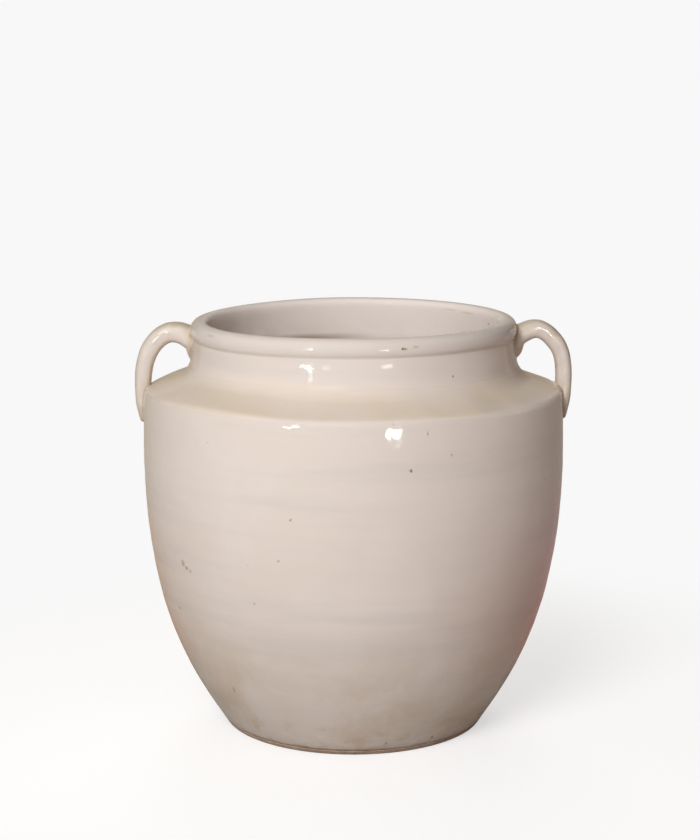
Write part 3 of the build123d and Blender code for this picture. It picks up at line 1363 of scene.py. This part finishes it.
@dataclass(frozen=True)
class LoopHandle:
    """Loop handle: a coil from the rim to the belly, with the clay that lutes it on."""

    side: Side
    stations: tuple[CoilStation, ...]
    lobes: tuple[Lobe, ...]
    skins: tuple[WallSkin, ...]
    squareness: float = 2.9
    oval_segments: int = 40
    steps: int = 7
    voxel: float = 0.75
    smoothing: int = 7
    dent_depth: float = 0.35
    dent_start: float = 0.3
    dent_spacing: float = 11.0
    joint_reach: float = 9.0
    loop_middle: Direction = (158.0, 316.0)

    @property
    def name(self) -> str:
        """Name of the piece."""
        return self.side.name.lower() + "_loop_handle"

    def sections(self) -> list[tuple[Vector, Vector, float, float]]:
        """Places, directions and half sizes of the coil's ovals, closely spaced.

        Returns:
            One row for each oval: middle, direction, half thickness and half width.
        """
        rows = []
        for start, end in zip(self.stations, self.stations[1:]):
            chord = (end.place() - start.place()).length
            reach = bend_reach(chord, start.heading().angle(end.heading()))
            run = interpolate_bezier(
                start.place(),
                start.place() + start.heading() * reach,
                end.place() - end.heading() * reach,
                end.place(),
                self.steps + 1,
            )
            for number in range(self.steps):
                share = number / self.steps
                thick = start.thickness + (end.thickness - start.thickness) * share
                wide = start.width + (end.width - start.width) * share
                heading = (run[number + 1] - run[number]).normalized()
                rows.append((run[number], heading, thick / 2.0 * MM, wide / 2.0 * MM))
        last = self.stations[-1]
        half_sizes = (last.thickness / 2.0 * MM, last.width / 2.0 * MM)
        rows.append((last.place(), last.heading(), *half_sizes))
        return rows

    def squared(self, part: float) -> float:
        """Share of an oval's half size, pushed out towards a rounded oblong."""
        return math.copysign(abs(part) ** (2.0 / self.squareness), part)

    def add_coil(self, form: bmesh.types.BMesh) -> None:
        """Adds the coil as bridged rounded oblongs, closed at both ends.

        Args:
            form: The mesh that takes it.
        """
        rings = []
        sideways = Vector((0.0, 1.0, 0.0))
        for middle, heading, half_thick, half_wide in self.sections():
            outwards = heading.cross(sideways)
            axes = Matrix((sideways, outwards, heading)).transposed().to_4x4()
            size = Matrix.Diagonal((half_wide, half_thick, 1.0, 1.0))
            matrix = Matrix.Translation(middle) @ axes @ size
            circle = bmesh.ops.create_circle(form, segments=self.oval_segments, radius=1.0)
            made = circle["verts"]
            for vert in made:
                vert.co = Vector((self.squared(vert.co.x), self.squared(vert.co.y), 0.0))
            bmesh.ops.transform(form, matrix=matrix, verts=made)
            rings.append({edge for vert in made for edge in vert.link_edges})
        for near, far in zip(rings, rings[1:]):
            bmesh.ops.bridge_loops(form, edges=list(near | far))
        ends = [edge for edge in rings[0] | rings[-1] if edge.is_boundary]
        bmesh.ops.holes_fill(form, edges=ends, sides=0)

    def raw_form(self, pot: bmesh.types.BMesh) -> bmesh.types.BMesh:
        """Coil, lobes and wall skins, lying in each other.

        Args:
            pot: The finished shell of the pot.

        Returns:
            The joined mesh.
        """
        form = bmesh.new()
        self.add_coil(form)
        for lobe in self.lobes:
            lobe.add_to(form)
        if self.side is Side.LEFT:
            bmesh.ops.scale(form, vec=(-1.0, 1.0, 1.0), verts=form.verts[:])
        bmesh.ops.recalc_face_normals(form, faces=form.faces[:])
        for skin in self.skins:
            skin.add_to(form, pot, self.side)
        return form

    def united(self, form: bmesh.types.BMesh) -> bmesh.types.BMesh:
        """Melts the parts into one skin and softens the joints.

        Args:
            form: The joined parts.

        Returns:
            One closed mesh.
        """
        rough = piece_from(form, self.name + "_rough")
        melt = rough.modifiers.new("melt", "REMESH")
        melt.mode = "VOXEL"
        melt.voxel_size = self.voxel * MM
        bpy.context.view_layer.update()
        melted = rough.evaluated_get(bpy.context.evaluated_depsgraph_get())
        mesh = bpy.data.meshes.new_from_object(melted)
        soft = bmesh.new()
        soft.from_mesh(mesh)
        raw = rough.data
        bpy.data.objects.remove(rough)
        bpy.data.meshes.remove(raw)
        bpy.data.meshes.remove(mesh)
        for vert in soft.verts:
            dent = noise.noise(vert.co / (self.dent_spacing * MM)) - self.dent_start
            vert.co += vert.normal * min(0.0, dent) * self.dent_depth * MM
        for _ in range(self.smoothing):
            bmesh.ops.smooth_vert(
                soft,
                verts=soft.verts[:],
                factor=0.5,
                use_axis_x=True,
                use_axis_y=True,
                use_axis_z=True,
            )
        return soft

    def build(self, pot: bmesh.types.BMesh, finish: bpy.types.Material) -> bpy.types.Object:
        """Makes the dressed handle.

        Args:
            pot: The finished shell of the pot.
            finish: The glaze.

        Returns:
            The piece.
        """
        piece = piece_from(self.united(self.raw_form(pot)), self.name)
        self.note_stains(piece.data, pot)
        piece.data.materials.append(finish)
        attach(piece, "root")
        prefix = self.side.name.lower() + "_handle"
        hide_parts(prefix, prefix + "_root", prefix + "_tail_pad")
        return piece

    def note_stains(self, mesh: bpy.types.Mesh, pot: bmesh.types.BMesh) -> None:
        """Writes how near each point lies to the pot, and how far it faces away from the loop.

        Args:
            mesh: The handle's mesh.
            pot: The finished shell of the pot.
        """
        tree = BVHTree.FromBMesh(pot)
        radius, height = self.loop_middle
        middle = Vector((radius * self.side.value * MM, 0.0, height * MM))
        near, outer = [], []
        for vert in mesh.vertices:
            away = tree.find_nearest(vert.co)[3] / MM
            near.append(1.0 - min(1.0, away / self.joint_reach))
            outward = Vector((vert.co.x - middle.x, 0.0, vert.co.z - middle.z)).normalized()
            outer.append(max(0.0, vert.normal.dot(outward)))
        for name, values in (("joint", near), ("outer", outer)):
            layer = mesh.attributes.new(name, "FLOAT", "POINT")
            layer.data.foreach_set("value", values)


LEFT_HANDLE = LoopHandle(
    side=Side.LEFT,
    stations=(
        CoilStation(134.0, 331.0, (0.857, 0.514), 20.0, 24.0),
        CoilStation(145.91, 337.9, (0.915, 0.404), 18.5, 20.0),
        CoilStation(159.7, 338.5, (0.93, -0.36), 17.2, 18.5),
        CoilStation(172.2, 328.2, (0.61, -0.79), 16.4, 18.5),
        CoilStation(178.9, 312.8, (0.25, -0.968), 15.2, 18.5),
        CoilStation(181.0, 294.03, (0.0, -1.0), 14.0, 18.5),
        CoilStation(181.30, 276.10, (-0.086, -0.996), 11.5, 20.0),
        CoilStation(180.0, 262.5, (-0.1, -0.995), 7.0, 12.0),
    ),
    lobes=(
        Lobe(136.2, 330.0, 7.6, 30.0, 32.0),
        Lobe(175.2, 274.5, 6.6, 31.0, 37.0),
        Lobe(177.3, 277.0, 3.4, 5.5, 32.0, -18.5, 2.0),
    ),
    skins=(WallSkin(327.0, 27.0, 25.0), WallSkin(277.0, 27.0, 27.0)),
)

RIGHT_HANDLE = LoopHandle(
    side=Side.RIGHT,
    stations=(
        CoilStation(134.0, 331.2, (0.84, 0.54), 18.5, 24.0),
        CoilStation(145.3, 339.3, (0.90, 0.435), 17.0, 20.0),
        CoilStation(159.6, 341.9, (0.94, -0.34), 15.6, 18.5),
        CoilStation(172.7, 331.5, (0.63, -0.777), 15.2, 18.5),
        CoilStation(179.4, 316.03, (0.20, -0.98), 14.2, 18.5),
        CoilStation(180.5, 296.86, (0.0, -1.0), 14.0, 18.5),
        CoilStation(180.5, 279.0, (-0.086, -0.996), 11.2, 20.0),
        CoilStation(179.3, 265.5, (-0.1, -0.995), 7.0, 12.0),
    ),
    lobes=(
        Lobe(136.6, 332.0, 9.6, 30.0, 31.0),
        Lobe(174.8, 277.5, 6.2, 30.0, 37.0),
        Lobe(174.2, 294.6, 1.6, 3.2, 13.0, -11.0, -42.0),
    ),
    skins=(WallSkin(330.0, 26.0, 23.0), WallSkin(279.0, 26.0, 26.0)),
)


# ---------------------------------------------------------------- the studio


class Part(Enum):
    """What a lamp is for: soft light on the clay, or a highlight in its glaze."""

    LIGHT = "light"
    HIGHLIGHT = "highlight"


@dataclass(frozen=True)
class Lamp:
    """Oblong lamp that faces its aim from a bearing, 0 at the front and 90 on the right.

    It lights everything, or only the piece that it names.
    """

    name: str
    bearing: float
    elevation: float
    width: float
    height: float
    power: float
    part: Part = Part.HIGHLIGHT
    distance: float = 2.13
    paint: Paint = WHITE
    aim: Place = (0.0, 0.0, 0.28)
    roll: float = 0.0
    only_on: str = ""

    def way(self) -> Vector:
        """Unit direction from the aim to the lamp.

        Returns:
            The direction.
        """
        turn, climb = math.radians(self.bearing), math.radians(self.elevation)
        level = math.cos(climb)
        return Vector((math.sin(turn) * level, -math.cos(turn) * level, math.sin(climb)))

    def build(self) -> None:
        """Hangs the lamp and turns it to its aim."""
        data = bpy.data.lights.new(self.name, "AREA")
        data.shape = "RECTANGLE"
        data.size, data.size_y = self.width, self.height
        data.energy = self.power
        data.color = self.paint.linear()[:3]
        lamp = bpy.data.objects.new(self.name, data)
        way = self.way()
        lamp.location = Vector(self.aim) + way * self.distance
        roll = Matrix.Rotation(math.radians(self.roll), 3, "Z")
        lamp.rotation_euler = (way.to_track_quat("Z", "Y").to_matrix() @ roll).to_euler()
        lamp.visible_glossy = self.part is Part.HIGHLIGHT
        lamp.visible_diffuse = self.part is Part.LIGHT
        bpy.context.scene.collection.objects.link(lamp)
        if self.only_on:
            lit = bpy.data.collections.new(self.name + "_lights")
            lit.objects.link(bpy.data.objects[self.only_on])
            lamp.light_linking.receiver_collection = lit


LAMPS = (
    # Soft light on the clay
    Lamp(
        "soft_key", bearing=-19.0, elevation=30.0, width=1.1, height=1.1, power=57.5,
        part=Part.LIGHT, distance=2.6, paint=Paint(252, 253, 255),
    ),
    Lamp(
        "soft_back", bearing=180.0, elevation=18.0, width=1.6, height=1.2, power=32.0,
        part=Part.LIGHT, distance=2.6,
    ),
    Lamp(
        "low_warm_card", bearing=72.0, elevation=2.0, width=0.5, height=0.1, power=0.22,
        part=Part.LIGHT, distance=0.9, paint=Paint(255, 160, 150), aim=(0.0, 0.0, 0.04),
    ),
    # Highlights on the neck, rim, shoulder edge and wall
    Lamp("left_window", bearing=-28.9, elevation=4.3, width=0.11, height=0.12, power=1.5),
    Lamp("left_window_bar", bearing=-31.5, elevation=2.2, width=0.25, height=0.02, power=0.5),
    Lamp("left_window_top", bearing=-28.9, elevation=11.0, width=0.10, height=0.3, power=0.4),
    Lamp("left_pane", bearing=-17.4, elevation=3.4, width=0.20, height=0.06, power=0.15),
    Lamp(
        "right_window", bearing=20.0, elevation=-2.5, width=0.135, height=0.052, power=0.8,
        distance=1.43, roll=-16.0,
    ),
    Lamp(
        "right_pane", bearing=21.5, elevation=4.6, width=0.13, height=0.05, power=0.15,
        distance=1.43,
    ),
    # Glints on the coils of the handles
    Lamp(
        "left_low_glint", bearing=-11.4, elevation=-1.5, width=0.18, height=0.18, power=2.4,
        aim=(-0.169, -0.009, 0.335), only_on="left_loop_handle",
    ),
    Lamp(
        "left_high_glint", bearing=-17.2, elevation=16.5, width=0.2, height=0.2, power=2.8,
        aim=(-0.163, -0.009, 0.341), only_on="left_loop_handle",
    ),
    Lamp(
        "right_glint", bearing=8.5, elevation=0.0, width=0.2, height=0.18, power=2.8,
        aim=(0.164, -0.009, 0.3417), only_on="right_loop_handle",
    ),
)


@dataclass(frozen=True)
class Studio:
    """Pale floor and backdrop, soft even light, and the camera."""

    background: Paint = Paint(248, 248, 248)
    background_in_gloss: float = 0.12
    # Light of the world, from its left side to its right, on the clay and in the glaze
    right_way: Place = (0.85, 0.5, -0.15)
    right_ramp: Ramp = Ramp(-0.9, 0.75)
    ambient: Ramp = Ramp(0.0, 1.0, 0.25, 0.115)
    ambient_in_gloss: Ramp = Ramp(0.0, 1.0, 0.42, 0.12)
    paint_left: Paint = Paint(255, 249, 240)
    paint_right: Paint = Paint(255, 240, 226)
    paint_in_gloss: Paint = Paint(255, 234, 206)
    # The world behind the jar, in the glaze
    behind_way: Place = (0.0, 1.0, 0.0)
    behind_in_gloss: Ramp = Ramp(0.85, 0.97, 0.0, 0.38)
    # Floor, and how far from the jar's middle it runs into the background
    floor_radius: float = 30.0
    floor_drop: float = 0.00005
    floor_paint: Tone = (0.47, 0.46, 0.45, 1.0)
    floor_glow: float = 0.605
    floor_end: Ramp = Ramp(0.2, 0.6)
    # Floor in the glaze: plain near the jar, then toned, near and far, left and right
    floor_in_gloss: Tone = (0.31, 0.26, 0.20, 1.0)
    toned_from: Ramp = Ramp(0.14, 0.3)
    far_from: Ramp = Ramp(0.5, 1.1)
    right_from: Ramp = Ramp(-0.2, 0.2)
    left_in_gloss: tuple[Tone, Tone] = ((0.46, 0.28, 0.17, 1.0), (0.46, 0.37, 0.27, 1.0))
    right_in_gloss: tuple[Tone, Tone] = ((0.34, 0.155, 0.145, 1.0), (0.29, 0.215, 0.17, 1.0))
    # Camera
    camera_place: Place = (-0.003, -1.6977, 0.5833)
    camera_pitch: float = 10.69
    lens: float = 85.714
    sensor: float = 36.0
    clip: Span = (0.05, 100.0)

    def seen(self, bench: NodeBench) -> tuple[Socket, Socket]:
        """How much of the background a ray sees.

        Args:
            bench: The bench of the world or of the floor.

        Returns:
            The share's socket, and the socket that is 1 for a glossy ray.
        """
        rays = bench.put("ShaderNodeLightPath").outputs
        glossy = rays["Is Glossy Ray"]
        direct = bench.work("MAXIMUM", rays["Is Camera Ray"], rays["Is Transmission Ray"])
        return bench.work("MULTIPLY_ADD", glossy, self.background_in_gloss, direct), glossy

    def add_world(self) -> None:
        """Soft light all round, dimmer towards the right, and the pale background."""
        bench = NodeBench(bpy.data.worlds.new("studio"))
        bpy.context.scene.world = bench.owner
        seen, glossy = self.seen(bench)
        heading = bench.put("ShaderNodeTexCoord").outputs["Generated"]
        facing = bench.measure("DOT_PRODUCT", heading, self.right_way)
        rightward = self.right_ramp.share(bench, facing)
        facing = bench.measure("DOT_PRODUCT", heading, self.behind_way)
        behind = self.behind_in_gloss.share(bench, facing)
        in_gloss = bench.work("MAXIMUM", self.ambient_in_gloss.share(bench, rightward), behind)
        strength = bench.put("ShaderNodeMix", data_type="FLOAT", clamp_factor=True)
        bench.feed(strength.inputs[0], glossy)
        bench.feed(strength.inputs[2], self.ambient.share(bench, rightward))
        bench.feed(strength.inputs[3], in_gloss)
        colour = bench.mix(rightward, self.paint_left, self.paint_right)
        soft = bench.put("ShaderNodeBackground")
        bench.feed(soft.inputs["Color"], bench.mix(glossy, colour, self.paint_in_gloss))
        bench.feed(soft.inputs["Strength"], strength.outputs[0])
        plain = bench.put("ShaderNodeBackground")
        bench.feed(plain.inputs["Color"], self.background)
        bench.show(bench.blend(seen, soft, plain), "ShaderNodeOutputWorld")

    def floor_finish(self) -> bpy.types.Material:
        """Pale floor that keeps a soft shadow near the jar and runs into the background.

        Returns:
            The finished material.
        """
        bench = NodeBench(bpy.data.materials.new("pale_floor"))
        seen, glossy = self.seen(bench)
        place = bench.put("ShaderNodeTexCoord").outputs["Object"]
        away = bench.measure("LENGTH", place)
        matte = bench.put("ShaderNodeBsdfDiffuse")
        colour = bench.mix(glossy, self.floor_paint, self.floor_in_gloss)
        bench.feed(matte.inputs["Color"], colour)
        lit = bench.put("ShaderNodeAddShader")
        bench.feed(lit.inputs[0], matte.outputs[0])
        bench.feed(lit.inputs[1], bench.glow(WHITE, bench.product(seen, self.floor_glow)).outputs[0])
        toned = bench.glow(self.floor_tone(bench, place, away))
        share = bench.product(self.toned_from.share(bench, away), glossy)
        near_jar = bench.blend(share, lit, toned)
        share = bench.product(self.floor_end.share(bench, away), seen)
        return bench.show(bench.blend(share, near_jar, bench.glow(self.background)))

    def floor_tone(self, bench: NodeBench, place: Socket, away: Socket) -> Socket:
        """Colour of the floor for glossy rays, tan on the left and mauve on the right.

        Args:
            bench: The floor's bench.
            place: The floor's coordinates.
            away: Distance from the jar's middle.

        Returns:
            The colour's socket.
        """
        parts = bench.put("ShaderNodeSeparateXYZ")
        bench.feed(parts.inputs[0], place)
        distant = self.far_from.share(bench, away)
        left = bench.mix(distant, *self.left_in_gloss)
        right = bench.mix(distant, *self.right_in_gloss)
        return bench.mix(self.right_from.share(bench, parts.outputs[0]), left, right)

    def add_floor(self) -> None:
        """Large round floor just under the jar's foot."""
        form = bmesh.new()
        bmesh.ops.create_circle(form, cap_ends=True, segments=96, radius=self.floor_radius)
        bmesh.ops.translate(form, vec=(0.0, 0.0, -self.floor_drop), verts=form.verts[:])
        floor = piece_from(form, "pale_floor")
        floor.data.materials.append(self.floor_finish())

    def add_camera(self) -> None:
        """Camera at the photograph's angle."""
        data = bpy.data.cameras.new("camera")
        data.lens = self.lens
        data.sensor_width = self.sensor
        data.clip_start, data.clip_end = self.clip
        camera = bpy.data.objects.new("camera", data)
        camera.location = self.camera_place
        camera.rotation_euler = (math.radians(90.0 - self.camera_pitch), 0.0, 0.0)
        bpy.context.scene.collection.objects.link(camera)
        bpy.context.scene.camera = camera

    def build(self, lamps: Iterable[Lamp]) -> None:
        """Sets up light, floor and camera.

        Args:
            lamps: The lamps, hung after the pieces that they name are built.
        """
        bpy.context.scene.view_settings.view_transform = "Standard"
        self.add_world()
        self.add_floor()
        self.add_camera()
        for lamp in lamps:
            lamp.build()


def main() -> None:
    """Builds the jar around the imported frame."""
    logging.basicConfig(level=logging.INFO, format="%(name)s: %(message)s")
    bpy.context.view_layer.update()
    glaze = PotGlaze().material()
    coil_glaze = HandleGlaze().material()
    clay = BareClay().material()
    pieces = [ThrownPot().build(glaze), StandingBand().build(clay)]
    shell = bmesh.new()
    shell.from_mesh(pieces[0].data)
    for handle in (LEFT_HANDLE, RIGHT_HANDLE):
        pieces.append(handle.build(shell, coil_glaze))
    shell.free()
    Studio().build(LAMPS)
    floor_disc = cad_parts["base_floor"]
    for slot in floor_disc.material_slots:
        slot.material = glaze
    pieces.append(floor_disc)
    for piece in pieces:
        faces, finishes = len(piece.data.polygons), len(piece.material_slots)
        log.info("%s: %d faces, %d materials", piece.name, faces, finishes)


if __name__ == "__main__":
    main()
